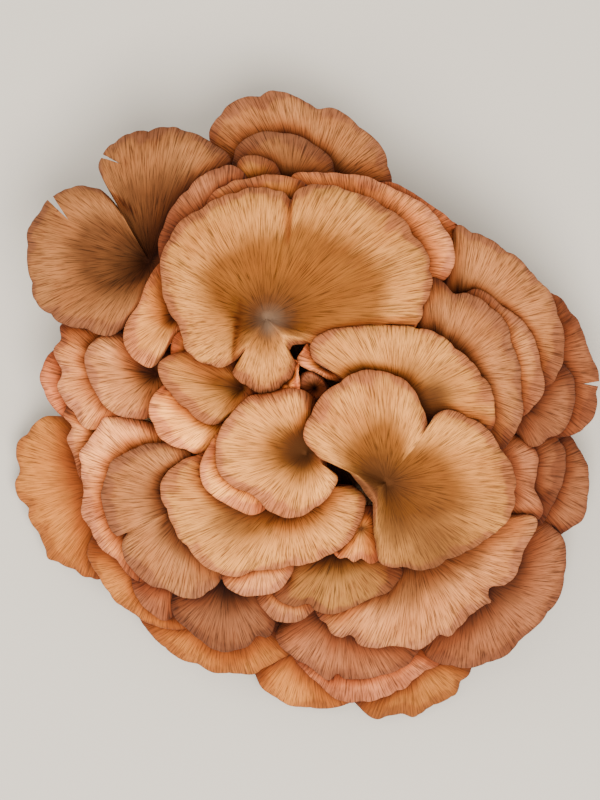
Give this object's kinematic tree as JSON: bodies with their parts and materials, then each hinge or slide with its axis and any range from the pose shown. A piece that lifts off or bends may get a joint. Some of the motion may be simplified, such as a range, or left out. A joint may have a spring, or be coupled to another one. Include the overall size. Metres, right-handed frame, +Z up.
{
  "type": "oyster mushroom cluster",
  "caption": "Cluster of overlapping fan and funnel shaped oyster mushrooms, gills and stems included, standing on the flat cut of the base they grew from.",
  "frame": {"origin": "middle of the flat cut face under the grown base, which is what the cluster stands on", "axes": "+Z up out of the cut face, +Y along the cluster's longest extent, towards the top of the picture, +X towards the right of the picture"},
  "size_m": [0.2105, 0.2267, 0.1166],
  "materials": {
    "cap_pale": "matt felted skin, pale peach with fine radial brown fibrils",
    "cap_tan": "matt felted skin, warm tan with fine radial brown fibrils",
    "cap_rust": "matt felted skin, red-brown with fine radial dark fibrils",
    "cap_amber": "smooth satin skin, amber orange",
    "flesh": "matt cream flesh, cut flat below"
  },
  "bodies": {
    "root": {"grown_base": "flesh", "crown_kidney": "cap_pale", "crown_fan": "cap_pale", "crown_arc": "cap_pale", "crown_flap": "cap_pale", "crown_cup": "cap_rust", "crown_petal": "cap_pale", "crown_small": "cap_pale", "under_small": "cap_pale", "lower_centre_fan": "cap_pale", "left_inner_upper": "cap_pale", "left_inner_top": "cap_pale", "left_inner_lower": "cap_pale", "left_fold": "cap_pale", "left_funnel": "cap_tan", "north_west_curl": "cap_rust", "north_rim": "cap_pale", "north_small": "cap_pale", "north_inner": "cap_tan", "north_outer": "cap_tan", "north_east_band": "cap_tan", "north_east_under": "cap_tan", "east_upper_band": "cap_tan", "east_mid_band": "cap_tan", "east_inner_band": "cap_tan", "east_outer": "cap_rust", "east_lower_fold": "cap_rust", "east_low_outer": "cap_rust", "east_low_mid": "cap_rust", "east_low_inner": "cap_rust", "south_east_band": "cap_tan", "south_inner": "cap_pale", "south_inner_low": "cap_tan", "south_west_inner": "cap_tan", "south_scallop": "cap_pale", "west_south_double": "cap_tan", "west_south_outer": "cap_tan", "west_fan": "cap_tan", "west_outer_band": "cap_tan", "west_low": "cap_rust", "west_wavy": "cap_tan", "south_west_low_fan": "cap_amber", "south_west_band": "cap_amber", "south_low_band": "cap_amber", "south_west_small": "cap_rust", "south_fan": "cap_rust", "south_low_fold": "cap_rust", "south_low_wavy": "cap_rust", "south_low_left": "cap_amber", "south_low_right": "cap_amber", "south_east_outer": "cap_rust"}
  },
  "joints": []
}
